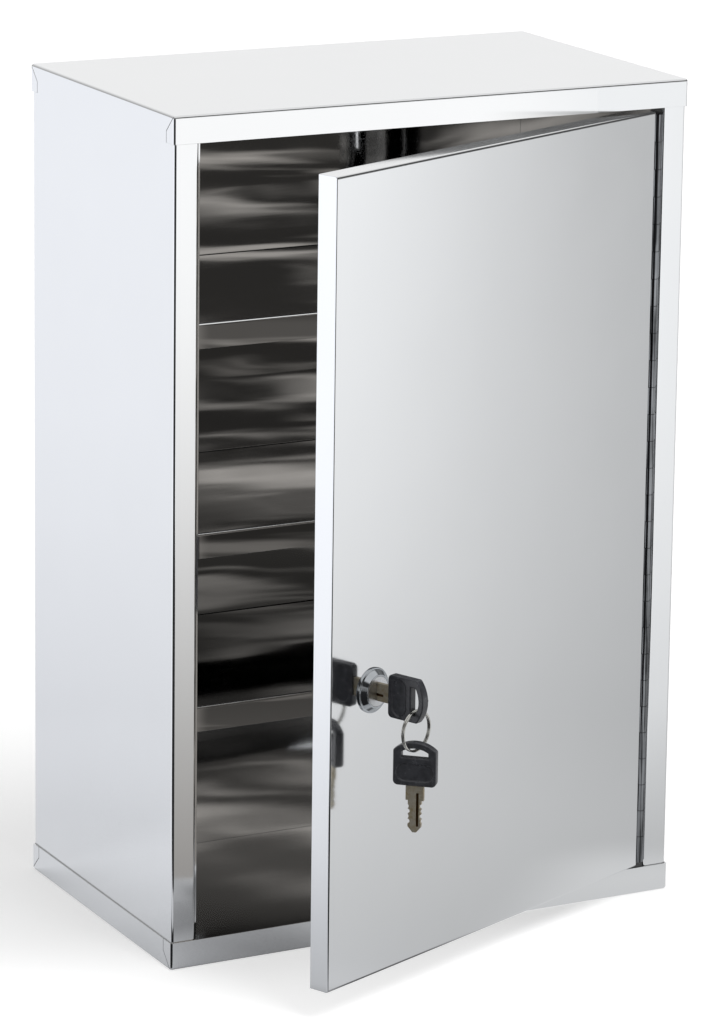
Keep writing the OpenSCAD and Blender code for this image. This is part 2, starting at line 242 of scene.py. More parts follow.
def bake(obj):
    """Makes what an object's modifiers show into its plain mesh, and removes them."""
    graph = bpy.context.evaluated_depsgraph_get()
    mesh = bpy.data.meshes.new_from_object(obj.evaluated_get(graph))
    obj.modifiers.clear()
    obj.data = mesh
    return obj


def smooth(obj, angle=34):
    """Shades a mesh smooth except over edges sharper than the angle, in degrees."""
    obj.data.shade_smooth()
    obj.data.set_sharp_from_angle(angle=radians(angle))
    return obj


def rounded(name, bm, material, width, segments=4, grooves=None):
    """An object from a marked bmesh with its edges rounded, its grooves cut and flats kept flat."""
    obj = make_object(name, bm, material)
    adjusted(
        obj.modifiers.new("Rounding", "BEVEL"), limit_method="WEIGHT", width=width,
        segments=segments, use_clamp_overlap=False, miter_outer="MITER_SHARP",
    )
    if grooves:
        cutter = make_object(name + "_cutter", grooves, seam_shadow())
        adjusted(
            obj.modifiers.new("Grooves", "BOOLEAN"), material_mode="TRANSFER",
            operation="DIFFERENCE", solver="EXACT", object=cutter,
        )
    smooth(bake(obj))
    adjusted(obj.modifiers.new("Flats", "WEIGHTED_NORMAL"), keep_sharp=True, weight=100)
    bake(obj)
    if grooves:
        bpy.data.objects.remove(cutter)
    return obj


def edged(node, ending, material, edge, inner=0.0, segments=3):
    """A CAD node as an object whose edges are all rounded alike, apart from the inner ones."""
    bm = welded(node)
    mark_edges(bm, edge, inner, edge, 0)
    return rounded(node + ending, bm, material, edge, segments)


def skin(rings, ends=True, bm=None):
    """A bmesh, or more of one, with faces from one ring of points to the next, and with flat ends
    or joined all round."""
    bm = bm or bmesh.new()
    rings = [[bm.verts.new(point) for point in ring] for ring in rings]
    pairs = list(zip(rings, rings[1:]))
    if ends:
        faces = [bm.faces.new(rings[0][::-1]), bm.faces.new(rings[-1])]
    else:
        faces = []
        pairs.append((rings[-1], rings[0]))
    for here, there in pairs:
        for i in range(len(here)):
            j = (i + 1) % len(here)
            faces.append(bm.faces.new((here[i], here[j], there[j], there[i])))
    bmesh.ops.recalc_face_normals(bm, faces=faces)
    return bm


def prism(outline, height, place=Matrix.Identity(4), bm=None):
    """A prism on a closed outline of x, y points, raised along z and then placed."""
    return skin([[place @ Vector((x, y, z)) for x, y in outline] for z in (0, height)], bm=bm)


def arc(x, y, radius, start, end, steps):
    """Points of an arc about x, y, from one angle to another, in degrees."""
    angles = [radians(start + (end - start) * i / steps) for i in range(steps + 1)]
    return [(x + radius * cos(a), y + radius * sin(a)) for a in angles]


def turned(section, steps=96, bm=None):
    """The solid that a closed section of radius, height points makes about z."""
    angles = [2 * pi * i / steps for i in range(steps)]
    rings = [[(r * cos(a), r * sin(a), z) for r, z in section] for a in angles]
    return skin(rings, False, bm)


def in_metres(section):
    """A section drawn in millimetres, in metres."""
    return [(r * MM, z * MM) for r, z in section]


# ---- node trees


def add_node(tree, kind, inputs=None, **settings):
    """Adds a node with its settings, and feeds its inputs with values, Numbers or nodes."""
    node = adjusted(tree.nodes.new(kind), **settings)
    for name, value in (inputs or {}).items():
        if isinstance(value, bpy.types.Node):
            value = value.outputs[0]
        value = getattr(value, "socket", value)
        if isinstance(value, bpy.types.NodeSocket):
            tree.links.new(value, node.inputs[name])
        else:
            node.inputs[name].default_value = value
    return node


class Number:
    """What a socket of a node tree gives, to reckon with like any other number."""

    def __init__(self, tree, socket):
        self.tree, self.socket = tree, socket

    def maths(self, operation, *others):
        """The result of one Math node on this number and others."""
        inputs = dict(enumerate((self, *others)))
        node = add_node(self.tree, "ShaderNodeMath", inputs, operation=operation)
        return Number(self.tree, node.outputs[0])

    def __add__(self, other):
        return self.maths("ADD", other)

    def __sub__(self, other):
        return self.maths("SUBTRACT", other)

    def __rsub__(self, other):
        return self.maths("MULTIPLY_ADD", -1.0, other)

    def __mul__(self, other):
        return self.maths("MULTIPLY", other)

    def __truediv__(self, other):
        return self.maths("DIVIDE", other)

    def __abs__(self):
        return self.maths("ABSOLUTE")

    def ranged(self, kind, start, end, low, high):
        """The number's range from start to end, mapped to low and high."""
        inputs = {"Value": self, "From Min": start, "From Max": end, "To Min": low, "To Max": high}
        node = add_node(self.tree, "ShaderNodeMapRange", inputs, interpolation_type=kind)
        return Number(self.tree, node.outputs[0])

    def climb(self, start, end, low=0.0, high=1.0):
        """A soft climb from low at start to high at end."""
        return self.ranged("SMOOTHSTEP", start, end, low, high)

    def spread(self, low, high, start=0.3, end=0.7):
        """Noise mapped from its usual range to low and high."""
        return self.ranged("LINEAR", start, end, low, high)

    def levels(self, stops):
        """A grey level for a share of a range, from pairs of a share and its level."""
        ramp = add_node(self.tree, "ShaderNodeValToRGB", {"Fac": self})
        elements = ramp.color_ramp.elements
        # A new ramp has two already
        for _ in stops[2:]:
            elements.new(1.0)
        for element, (place, level) in zip(elements, stops):
            adjusted(element, position=place, color=(level, level, level, 1))
        return Number(self.tree, ramp.outputs[0])


def read(tree, kind, output):
    """What one output of a new node without inputs gives."""
    return Number(tree, add_node(tree, kind).outputs[output])


def xyz(tree, vector):
    """The x, y and z of a vector."""
    split = add_node(tree, "ShaderNodeSeparateXYZ", {"Vector": vector})
    return [Number(tree, socket) for socket in split.outputs]


def around(x, y, stops):
    """A level for the direction of x, y, from pairs of an azimuth in degrees and its level."""
    share = y.maths("ARCTAN2", x) / (2 * pi) + 0.5
    return share.levels([(azimuth / 360 + 0.5, level) for azimuth, level in stops])


def noise(place, size, stretch=(1, 1, 1), detail=3.0, roughness=0.5):
    """Noise whose features are about size metres across, longer along the axes stretch names."""
    scale = [1 / (size * s) for s in stretch]
    mapping = add_node(place.tree, "ShaderNodeMapping", {"Vector": place, "Scale": scale})
    inputs = {"Vector": mapping, "Scale": 1.0, "Detail": detail, "Roughness": roughness}
    return Number(place.tree, add_node(place.tree, "ShaderNodeTexNoise", inputs).outputs[0])


def bump(height, depth, below=None):
    """Bump from one height map, of the given depth in metres, on top of another bump."""
    inputs = {"Height": height, "Strength": 1.0, "Distance": depth}
    if below:
        inputs["Normal"] = below
    return add_node(height.tree, "ShaderNodeBump", inputs)


def tinted(factor, one, other):
    """A colour between two, by a factor."""
    inputs = {"Factor": factor, "A": (*one, 1), "B": (*other, 1)}
    return add_node(factor.tree, "ShaderNodeMix", inputs, data_type="RGBA").outputs["Result"]


def empty_tree(owner):
    """The node tree of a material or world, cleared."""
    owner.use_nodes = True
    owner.node_tree.nodes.clear()
    return owner.node_tree


def new_material(name):
    """A new material and its Object coordinates."""
    material = bpy.data.materials.new(name)
    return material, read(empty_tree(material), "ShaderNodeTexCoord", "Object")


def coat(material, color, rough, normal=None, **others):
    """Gives a material one shader of that colour, roughness, bump and other inputs."""
    inputs = {"Base Color": color, "Roughness": rough, **others}
    if normal:
        inputs["Normal"] = normal
    shader = add_node(material.node_tree, "ShaderNodeBsdfPrincipled", inputs)
    add_node(material.node_tree, "ShaderNodeOutputMaterial", {"Surface": shader})
    return material


def row_tree():
    """Geometry Nodes tree that repeats an object along a straight row and joins it to a mesh."""
    tree = bpy.data.node_groups.new("Row on a strip", "GeometryNodeTree")
    for name, kind in (
        ("Geometry", "Geometry"), ("Copy", "Object"), ("Count", "Int"), ("Start", "Vector"),
        ("Step", "Vector"),
    ):
        tree.interface.new_socket(name, in_out="INPUT", socket_type="NodeSocket" + kind)
    tree.interface.new_socket("Geometry", in_out="OUTPUT", socket_type="NodeSocketGeometry")
    given = add_node(tree, "NodeGroupInput").outputs
    places = {"Count": given["Count"], "Start Location": given["Start"], "Offset": given["Step"]}
    line = add_node(tree, "GeometryNodeMeshLine", places, mode="OFFSET")
    copy = add_node(tree, "GeometryNodeObjectInfo", {"Object": given["Copy"]}).outputs["Geometry"]
    row = add_node(tree, "GeometryNodeInstanceOnPoints", {"Points": line, "Instance": copy})
    both = add_node(tree, "GeometryNodeJoinGeometry", {"Geometry": given["Geometry"]})
    tree.links.new(row.outputs[0], both.inputs["Geometry"])
    real = add_node(tree, "GeometryNodeRealizeInstances", {"Geometry": both})
    add_node(tree, "NodeGroupOutput", {"Geometry": real})
    return tree


def add_row(obj, copy, count, start, step, material):
    """Repeats copy's mesh along a row from start, joined into obj, whose mesh stays plain."""
    tree = bpy.data.node_groups.get("Row on a strip") or row_tree()
    template = smooth(make_object("row_template", copy, material))
    modifier = adjusted(obj.modifiers.new("Row", "NODES"), node_group=tree)
    values = {"Copy": template, "Count": count, "Start": start, "Step": step}
    for item in tree.interface.items_tree:
        if item.name in values:
            modifier[item.identifier] = values[item.name]
    obj.update_tag()
    bake(obj)
    bpy.data.objects.remove(template)


# ---- finishes

GRAIN = {"upright": (1, 1, 120), "across": (120, 1, 1)}


def polished_sheet(direction, waviness=0.16 * MM, wave=130 * MM, haze_level=1.0):
    """Bright-annealed stainless sheet: nearly a mirror, with a faint rolling grain one way,
    handling haze, and the slow waviness that makes its reflections wander."""
    name = f"Polished stainless sheet, grain {direction}, waves {waviness / MM:.2f} mm"
    if name in bpy.data.materials:
        return bpy.data.materials[name]
    settings = bpy.context.scene.cabinet_sheet
    material, place = new_material(name)
    haze = noise(place, 45 * MM, detail=4, roughness=0.6)
    # Rolling lines are about 0.05 mm wide, drawn as 0.9 mm so that they show
    lines = noise(place, 0.9 * MM, GRAIN[direction], detail=2)
    base = Vector(settings.color)
    color = tinted(haze.spread(0, 1), base * 0.985, base)
    polish = settings.polish * haze_level
    rough = haze.spread(polish, polish + 0.03, 0.4, 0.75) + lines.spread(-0.008, 0.008)
    waves = noise(place, wave, (2.6, 1, 0.5) if direction == "across" else (1, 1, 1), detail=1)
    relief = bump(waves, waviness, bump(lines, 0.0006 * MM))
    return coat(material, color, rough, relief, Metallic=1.0)


def seam_shadow():
    """Bottom of the joint between two tabs: the cut edge, near black partly from welding and dust
    and partly as painted shade deep in the narrow joint.
    """
    name = "Sooted seam, painted shade"
    if name in bpy.data.materials:
        return bpy.data.materials[name]
    material, place = new_material(name)
    shade_and_soot = noise(place, 1.5 * MM)
    # Painted shade: the near-black stands partly for the shade deep in the narrow joint
    return coat(material, tinted(shade_and_soot.spread(0, 1), rgb("1C1B1A"), rgb("3A3835")), 0.7)


def rolled_strip():
    """Rolled steel strip, duller than the sheet, with draw lines that run up the knuckles. The black
    in those lines is painted shade, standing for the dark of the narrow gap at the hinge."""
    material, place = new_material("Rolled stainless strip")
    lines = noise(place, 0.9 * MM, (1, 1, 60), detail=2)
    patchy_tone = noise(place, 20 * MM)
    base = Vector(bpy.context.scene.cabinet_hinge.color)
    # Painted shade: the draw lines are darkened towards black for the narrow hinge gap, and patches
    # vary the tone at random
    bright = lines.spread(0, 1, 0.36, 0.6) + patchy_tone.spread(-0.25, 0.25)
    color = tinted(bright, base * 0.12, base)
    return coat(material, color, lines.spread(0.06, 0.1), bump(lines, 0.0015 * MM), Metallic=1.0)


def plated(name, base, low, high, grain, depth, shade=0.93):
    """A plated or machined metal: one colour in slightly uneven tone, with a fine grain whose size
    and depth are in millimetres."""
    material, place = new_material(name)
    base = Vector(base)
    clouds = noise(place, 5 * MM, detail=4)
    grit = noise(place, grain * MM, detail=2)
    color = tinted(clouds.spread(0, 1), base * shade, base)
    return coat(material, color, clouds.spread(high, low), bump(grit, depth * MM), Metallic=1.0)


def chrome_plate():
    """Bright chrome on a polished zinc casting: hard, clear reflections and few flaws."""
    return plated("Chrome plate", bpy.context.scene.cabinet_lock.chrome, 0.06, 0.1, 1.5, 0.004)


def satin_casting():
    """Die-cast zinc plug, plated over its cast skin: a soft, grey, finely pitted face."""
    return plated("Satin die casting", rgb("D3D4D6"), 0.26, 0.36, 0.35, 0.006)


def zinc_plate():
    """Zinc-plated pressed steel: dull grey with a cloudy, slightly warm tone."""
    return plated("Zinc-plated steel", rgb("AEB0B2"), 0.3, 0.42, 0.5, 0.006, 0.82)


def stamped_brass():
    """Thin stamped brass of the wafers."""
    return plated("Stamped brass", rgb("D0AC62"), 0.24, 0.34, 0.4, 0.004)


def spring_wire():
    """Hardened nickel-plated wire: bright, its drawn surface slightly uneven."""
    return plated("Nickel-plated spring wire", rgb("D2D1CC"), 0.14, 0.22, 0.8, 0.004)


def groove_brass():
    """Freshly milled groove of the blade: bare brass gone brown, and painted darker as the shade
    inside the groove.
    """
    return plated("Milled brass groove", rgb("6A5236"), 0.35, 0.45, 0.3, 0.006, 0.8)


def key_nickel():
    """Nickel-plated brass blank: warm grey, with brass showing through where it rubs."""
    material, place = new_material("Nickel-plated brass")
    wear = noise(place, 2.5 * MM, detail=5, roughness=0.65)
    scratches = noise(place, 0.25 * MM, (1, 1, 14), detail=2)
    nickel = bpy.context.scene.cabinet_keys.nickel
    color = tinted(wear.spread(0, 1, 0.42, 0.72), nickel, rgb("B3A27C"))
    # Tumbled plate scatters some light, so it looks pale in a dark room too
    return coat(material, color, wear.spread(0.36, 0.5), bump(scratches, 0.006 * MM), Metallic=0.78)


def moulded_plastic():
    """Injection-moulded ABS, spark-eroded to a satin: soft highlights, paler where rubbed."""
    material, place = new_material("Black moulded ABS")
    base = Vector(bpy.context.scene.cabinet_keys.plastic)
    skin_grain = noise(place, 0.3 * MM, detail=3, roughness=0.6)
    rub = noise(place, 3 * MM, detail=3)
    color = tinted(rub.spread(0, 1), base * 0.75, base * 1.25)
    return coat(material, color, rub.spread(0.2, 0.28), bump(skin_grain, 0.012 * MM), IOR=1.54)


# ---- pieces


def place_piece(obj, body, slot, *nodes):
    """Gives a finished piece its body, and hides the CAD nodes it stands for. Its slot is not
    used.
    """
    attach(obj, body)
    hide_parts(*nodes)


def corner_tabs(node, skirt):
    """The joint lines of a tray's corner tabs, as thin prisms that sink into its side skirts,
    which rise from the fold for a skirt of 1 and hang from it for -1."""
    sheet = bpy.context.scene.cabinet_sheet
    low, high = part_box(node)
    fold = low.z if skirt > 0 else high.z
    tab, half = sheet.tab, sheet.seam / 2
    reach = high.z - low.z + 1 * MM
    start, depth = 0.9 * MM, 0.4 * MM
    # A line's half width seen along its slope of 45 degrees, and its shift where it turns upright
    slope, lean = half * 0.7, half * 0.414
    outline = [
        (start - slope, start + slope), (start + slope, start - slope), (tab + half, tab - lean),
        (tab + half, reach), (tab - half, reach), (tab - half, tab + lean),
    ]
    bm = bmesh.new()
    for x, out in ((low.x, -1), (high.x, 1)):
        for y, inward in ((low.y, 1), (high.y, -1)):
            place = square_to(
                Vector((0, inward, 0)), UP * skirt, Vector((out, 0, 0)),
                Vector((x - out * depth, y, fold)),
            )
            prism(outline, depth + 1 * MM, place, bm)
    return bm


def folded(node, body, direction, grooves=None, butt=None, wavy=False):
    """A sheet piece of the frame with its bends rounded and its cut edges broken."""
    sheet = bpy.context.scene.cabinet_sheet
    # Parts inside the cabinet are less flat, and cleaner, than its outside
    uneven = (0.5 * MM, 60 * MM, 0.4) if wavy else ()
    steel = polished_sheet(direction, *uneven)
    bm = welded(node)
    mark_edges(bm, sheet.bend, sheet.inner_bend, sheet.deburr, sheet.thickness, butt)
    obj = rounded(node + "_folded", bm, steel, sheet.bend, grooves=grooves)
    place_piece(obj, body, "stainless_sheet", node)


class CABINET_OT_body(bpy.types.Operator):
    """Trays, sides and back with bent edges and the joint lines of their corner tabs"""

    bl_idname = "cabinet.body"
    bl_label = "Cabinet body"

    def execute(self, context):
        for node, skirt in (("top_tray", -1), ("bottom_tray", 1)):
            folded(node, "cabinet", "across", corner_tabs(node, skirt))
        for node in ("left_side", "right_side"):
            folded(node, "cabinet", "upright")
        folded("back_panel", "cabinet", "across", wavy=True)
        return {"FINISHED"}


class CABINET_OT_shelves(bpy.types.Operator):
    """Shelves with a bent lip in front and welding flanges"""

    bl_idname = "cabinet.shelves"
    bl_label = "Shelves"

    def execute(self, context):
        for node in ("upper_shelf", "middle_shelf", "lower_shelf"):
            folded(node, "cabinet", "across", wavy=True)
        return {"FINISHED"}


class CABINET_OT_door(bpy.types.Operator):
    """Door pan, whose flanges butt at the corners, and its inner sheet"""

    bl_idname = "cabinet.door"
    bl_label = "Door"

    def execute(self, context):
        folded("door_pan", "door", "upright", butt=DOOR_OUT)
        folded("door_liner", "door", "upright")
        return {"FINISHED"}


def weld_mark():
    """A resistance weld on a back face: a shallow dish with a raised rim."""
    section = [
        (0.02, -0.1), (2.4, -0.1), (2.4, 0.0), (2.1, 0.05), (1.8, 0.03), (1.4, 0.0), (0.02, 0.01),
    ]
    mark = turned(in_metres(section), 20)
    mark.transform(Matrix.Rotation(-pi / 2, 4, "X"))
    return mark


class CABINET_OT_welds(bpy.types.Operator):
    """Rows of spot welds that hold the back panel to the sides' rear flanges"""

    bl_idname = "cabinet.welds"
    bl_label = "Spot welds"

    count: IntProperty(name="Welds", description="Welds up each flange", default=9, min=2, max=20)

    def execute(self, context):
        steel = polished_sheet("upright")
        from_edge, from_end = 6 * MM, 24 * MM
        for node in ("left_side", "right_side"):
            low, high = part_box(node)
            x = high.x - from_edge if node == "right_side" else low.x + from_edge
            rise = (high.z - low.z - 2 * from_end) / (self.count - 1)
            row = make_object(node + "_welds", bpy.data.meshes.new("empty"))
            start = (x, high.y, low.z + from_end)
            add_row(row, weld_mark(), self.count, start, (0, 0, rise), steel)
            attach(row, "cabinet")
        return {"FINISHED"}


# ---- hinge


def knuckle(height):
    """One rolled knuckle about z with its web to the leaf on the right, and a slit where the
    curl meets itself."""
    outer, leaf_out = PIN_FOOT.x - LEAF_LOW.x, LEAF_HIGH.x - PIN_FOOT.x
    bore = PIN_RADIUS + 0.05 * MM
    leaf_in = leaf_out - bpy.context.scene.cabinet_sheet.thickness
    web = leaf_out + 0.1 * MM
    # Where the curl ends and starts, as angles about the pin
    curl = 62
    slit = curl - bpy.context.scene.cabinet_hinge.curl_slit / outer * 180 / pi
    outline = arc(0, 0, outer, curl, 335, 26)
    outline += [(leaf_out - 0.12 * MM, 0.35 * MM), (leaf_out, 0.9 * MM), (leaf_out, web)]
    outline += [(leaf_in, web), (leaf_in, outer * 0.5)]
    outline += arc(0, 0, outer, 44, slit, 3)
    outline += arc(0, 0, bore, slit, curl - 360, 24)
    return prism(outline, height)


def hinge_leaf(node, body, strip, first, place):
    """One leaf of the piano hinge: a strip with every second knuckle rolled from its edge."""
    hinge = bpy.context.scene.cabinet_hinge
    sheet = bpy.context.scene.cabinet_sheet.thickness
    right, back = LEAF_HIGH.x - PIN_FOOT.x, LEAF_HIGH.y - PIN_FOOT.y
    front = PIN_FOOT.y - LEAF_LOW.y + 0.5 * MM
    height = LEAF_HIGH.z - LEAF_LOW.z
    outline = [(right - sheet, front), (right, front), (right, back), (right - sheet, back)]
    bm = prism(outline, height)
    burr = 0.15 * MM
    mark_edges(bm, burr, 0, burr, 0)
    obj = rounded(node + "_rolled", bm, strip, burr, 2)
    knuckles = round(height / hinge.pitch)
    count = len(range(first, knuckles, 2))
    start = (0, 0, first * hinge.pitch + hinge.gap / 2)
    add_row(obj, knuckle(hinge.pitch - hinge.gap), count, start, (0, 0, 2 * hinge.pitch), strip)
    obj.data.transform(place)
    if place.determinant() < 0:
        obj.data.flip_normals()
    place_piece(obj, body, "hinge_steel", node)


class CABINET_OT_hinge(bpy.types.Operator):
    """Piano hinge: two leaves with rolled knuckles, and its pin"""

    bl_idname = "cabinet.hinge"
    bl_label = "Hinge"

    def execute(self, context):
        mirror = Matrix.Scale(-1, 4, (1, 0, 0))
        door_side = HINGE_FRAME @ Matrix.Rotation(DOOR_OPEN, 4, "Z") @ mirror
        strip = rolled_strip()
        hinge_leaf("hinge_frame_leaf", "cabinet", strip, 0, HINGE_FRAME)
        hinge_leaf("hinge_door_leaf", "door", strip, 1, door_side)
        height = PIN_HIGH.z - PIN_LOW.z
        dome = arc(0, 0, PIN_RADIUS, 90, 0, 5)
        section = [(max(x, 0.01 * MM), height - (PIN_RADIUS - y) * 0.4) for x, y in dome]
        section += [(x, height - z) for x, z in section[::-1]]
        bm = turned(section, 32)
        bm.transform(HINGE_FRAME)
        pin = smooth(make_object("hinge_pin_domed", bm, strip))
        place_piece(pin, "cabinet", "hinge_steel", "hinge_pin")
        return {"FINISHED"}


# ---- lock


def barrel_section():
    """Section of the barrel's outside and bore, as radius and height along the lock's axis."""
    lock = bpy.context.scene.cabinet_lock
    flange, nose = lock.flange / MM, lock.nose / MM
    section = [(6.5, nose - 1.5), (7.86, nose - 1.5), (7.86, nose - 0.12), (7.95, nose)]
    section += [(8.45, nose)] + arc(8.45, nose - 0.3, 0.3, 80, 35, 3)
    section += [(10.6, 1.28), (10.8, 1.06), (10.95, 1.0)]
    section += arc(flange - 0.4, 0.6, 0.4, 90, 0, 5)
    section += [(flange, 0.0), (6.5, 0.0)]
    return in_metres(section)


def thread_section():
    """Section of the threaded shank, as radius and height, from the door's face to its end."""
    bore, minor, major = 6.5, 8.75, 9.28
    z, end, chamfer = -1.6, -13.7, 0.4
    pitch = bpy.context.scene.cabinet_lock.thread_pitch / MM
    groove = ((major, 0.0), (minor, 0.42), (minor, 0.5), (major, 0.92))
    section = [(bore, 0.0), (major, 0.0)]
    while z - pitch > end + chamfer:
        section += [(r, z - share * pitch) for r, share in groove]
        z -= pitch
    section += [(major, end + chamfer), (major - chamfer, end), (bore, end)]
    return in_metres(section)


class CABINET_OT_lock(bpy.types.Operator):
    """Cam lock: chromed barrel with its thread and flats, plug, wafers, nut, cam and screw"""

    bl_idname = "cabinet.lock"
    bl_label = "Lock"

    def execute(self, context):
        chrome, zinc = chrome_plate(), zinc_plate()
        shank = turned(thread_section())
        flat = 8.2 * MM
        for side in (-1, 1):
            everything = shank.verts[:] + shank.edges[:] + shank.faces[:]
            cut = bmesh.ops.bisect_plane(
                shank, geom=everything, plane_co=(side * flat, 0, 0), plane_no=(side, 0, 0),
                clear_outer=True,
            )
            rim = [g for g in cut["geom_cut"] if isinstance(g, bmesh.types.BMEdge)]
            bmesh.ops.triangle_fill(shank, use_beauty=True, edges=rim)
        bmesh.ops.recalc_face_normals(shank, faces=shank.faces)
        turned(barrel_section(), 128, shank)
        shank.transform(LOCK_FRAME)
        barrel = smooth(make_object("lock_barrel_turned", shank, chrome), 40)
        place_piece(barrel, "door", "lock_chrome", "lock_barrel")
        for node, body, edge, material, slot in (
            ("lock_nut", "door", 0.35, chrome, "lock_chrome"),
            ("lock_plug", "plug", 0.15, satin_casting(), "lock_chrome"),
            ("lock_wafers", "plug", 0.08, stamped_brass(), "wafer_brass"),
            ("lock_cam", "plug", 0.25, zinc, "cam_steel"),
            ("cam_screw", "plug", 0.2, zinc, "cam_steel"),
        ):
            obj = edged(node, "_finished", material, edge * MM)
            place_piece(obj, body, slot, node)
        return {"FINISHED"}


# ---- keys


def paint_recess(obj, material):
    """Gives a material to the faces parallel to the two broad sides and below them."""
    polygons = obj.data.polygons
    out = max(polygons, key=lambda face: face.area).normal.copy()
    heights = [face.center.dot(out) for face in polygons]
    obj.data.materials.append(material)
    for face, height in zip(polygons, heights):
        depth = min(max(heights) - height, height - min(heights))
        if abs(face.normal.dot(out)) > 0.9 and depth > 0.12 * MM:
            face.material_index = 1


class CABINET_OT_keys(bpy.types.Operator):
    """Two keys: soft-edged moulded heads, and blades with a brown milled groove"""

    bl_idname = "cabinet.keys"
    bl_label = "Keys"

    def execute(self, context):
        plastic, nickel, groove = moulded_plastic(), key_nickel(), groove_brass()
        edge, burr = context.scene.cabinet_keys.edge, 0.15 * MM
        for key, body in (("key", "key"), ("spare", "spare_key")):
            head = edged(key + "_head", "_moulded", plastic, edge, edge * 0.4, 4)
            place_piece(head, body, "key_plastic", key + "_head")
            blade = edged(key + "_blade", "_milled", nickel, burr, segments=2)
            # The recess takes the groove's colour, which is partly painted shade
            paint_recess(blade, groove)
            place_piece(blade, body, "key_nickel", key + "_blade")
        return {"FINISHED"}


class CABINET_OT_ring(bpy.types.Operator):
    """Split ring: two turns of wire that cross over, with blunt ends"""

    bl_idname = "cabinet.ring"
    bl_label = "Split ring"

    turns: FloatProperty(name="Turns", description="Turns of wire", default=1.95, min=1, max=3)

    def execute(self, context):
        wire = context.scene.cabinet_keys.wire
        low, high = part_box("key_ring")
        centre = (low + high) / 2
        radius = (high.z - low.z) / 2 - wire
        pair = 0.95 * wire
        # Where the wire starts, and the angle over which it crosses to its other turn
        start, cross = radians(128), radians(70)
        steps, sides = 220, 14
        round_wire = [2 * pi * i / sides for i in range(sides)]
        rings = []
        for i in range(steps + 1):
            a = 2 * pi * self.turns * i / steps
            share = min(max((a - (pi * self.turns - cross / 2)) / cross, 0), 1)
            lift = pair * (2 * share * share * (3 - 2 * share) - 1)
            out = DOOR_RIGHT * cos(start + a) + UP * sin(start + a)
            point = centre + out * radius + DOOR_OUT * lift
            rings.append([point + (out * cos(b) + DOOR_OUT * sin(b)) * wire for b in round_wire])
        ring = smooth(make_object("key_ring_coiled", skin(rings), spring_wire()), 50)
        place_piece(ring, "ring", "ring_steel", "key_ring")
        return {"FINISHED"}


# ---- stage


# What polished metal sees of the floor's painted glow: (azimuth from +X in degrees, brightness)
FLOOR_LEVELS = (
    (-180, 1.2), (-165, 1.1), (-150, 1.02), (-90, 1.04), (-72, 1.04), (-56, 0.99), (-28, 0.9),
    (-14, 0.5), (0, 0.4), (45, 0.45), (80, 0.85), (115, 1.0), (150, 1.05), (165, 1.2), (180, 1.2),
)
# The same close to the object, relative to the above: painted light and shade near it
NEAR_LEVELS = (
    (-180, 0.84), (-150, 0.8), (-133, 0.72), (-115, 0.95), (-100, 1.15), (-70, 1.15), (-40, 1.25),
    (0, 1.2), (90, 0.9), (125, 0.9), (150, 0.84), (180, 0.84),
)
# The same by distance from the object, as a share of REACH metres, with painted shade near it
REACH = 2.0
REACH_LEVELS = (
    (0, 1.0), (0.05, 0.88), (0.15, 0.8), (0.375, 0.88), (0.55, 0.92), (0.75, 0.93), (1, 0.95),
)
# The room above the floor
ROOM_LEVELS = (
    (-180, 0.35), (-150, 0.12), (-118, 0.04), (-80, 0.04), (-16, 0.05), (10, 0.08),
    (28, 0.5), (40, 0.88), (50, 0.93), (75, 0.93), (95, 0.8), (118, 0.4), (150, 0.35), (180, 0.35),
)
# The card that the inside mirrors as painted reflections, by share of its height: its streaks,
# and what lies between
STREAK_LEVELS = ((0, 1.0), (0.38, 1.0), (0.42, 0.3), (0.5, 0.3), (0.56, 0.8), (1, 1.0))
GROUND_LEVELS = (
    (0, 0.03), (0.13, 0.045), (0.2, 0.075), (0.3, 0.035), (0.42, 0.022), (0.66, 0.022),
    (0.68, 0.09), (0.73, 0.09), (0.75, 0.025), (1, 0.03),
)

# Where each painted shade and glow on the floor comes in, from none of it to all of it, in
# metres, and for the sides of the dark sector in degrees from the camera's direction
SECTOR_LEFT = (51.5, 46)
SECTOR_RIGHT = (-58, -50)
SECTOR_NARROWS = (0.65, 1.05)
PAINTED_SHADE_ACROSS, PAINTED_SHADE_ALONG = (0.4, -0.05), (-0.1, 0.5)
RETURN_EDGE, RETURN_START = (0.012, 0.0), (-0.02, 0.0)
STRIP_EDGE, STRIP_START = (-0.12, -0.02), (0.0, 0.1)
NEAR, RAIL_GLOW = (0.3, 0.02), (0.08, 0.02)
FOOT, FOOT_RIGHT, FOOT_LEFT = (0.03, 0.008), (0.04, -0.03), (-0.1, -0.07)
OPENING_RIGHT, OPENING_LEFT = (-0.05, -0.09), (-0.165, -0.145)
OPENING_BACK, OPENING_INNER, OPENING_OUTER = (-0.088, -0.094), (0.035, 0.06), (0.2, 0.13)
# Azimuths in degrees of the strips of floor that the door's free edge and its face see
RETURN_TURN, STRIP_TURN = 163, -17


def place_about(tree, origin=(0, 0), turn=0.0):
    """Coordinates about an origin: x along the azimuth turn, y to its left, and the height."""
    place = add_node(tree, "ShaderNodeNewGeometry").outputs["Position"]
    inputs = {"Vector": place, "Location": (origin[0], origin[1], 0), "Rotation": (0, 0, turn)}
    return xyz(tree, add_node(tree, "ShaderNodeMapping", inputs, vector_type="TEXTURE"))


def past_box(tree, origin=(0, 0), turn=0.0, half=(0, 0)):
    """Distance of a floor point from a turned rectangle, given by its half width and depth."""
    x, y, _ = place_about(tree, origin, turn)
    past_x = (abs(x) - half[0]).maths("MAXIMUM", 0.0)
    past_y = (abs(y) - half[1]).maths("MAXIMUM", 0.0)
    past = add_node(tree, "ShaderNodeCombineXYZ", {"X": past_x, "Y": past_y})
    measured = add_node(tree, "ShaderNodeVectorMath", {0: past}, operation="LENGTH")
    return Number(tree, measured.outputs["Value"])


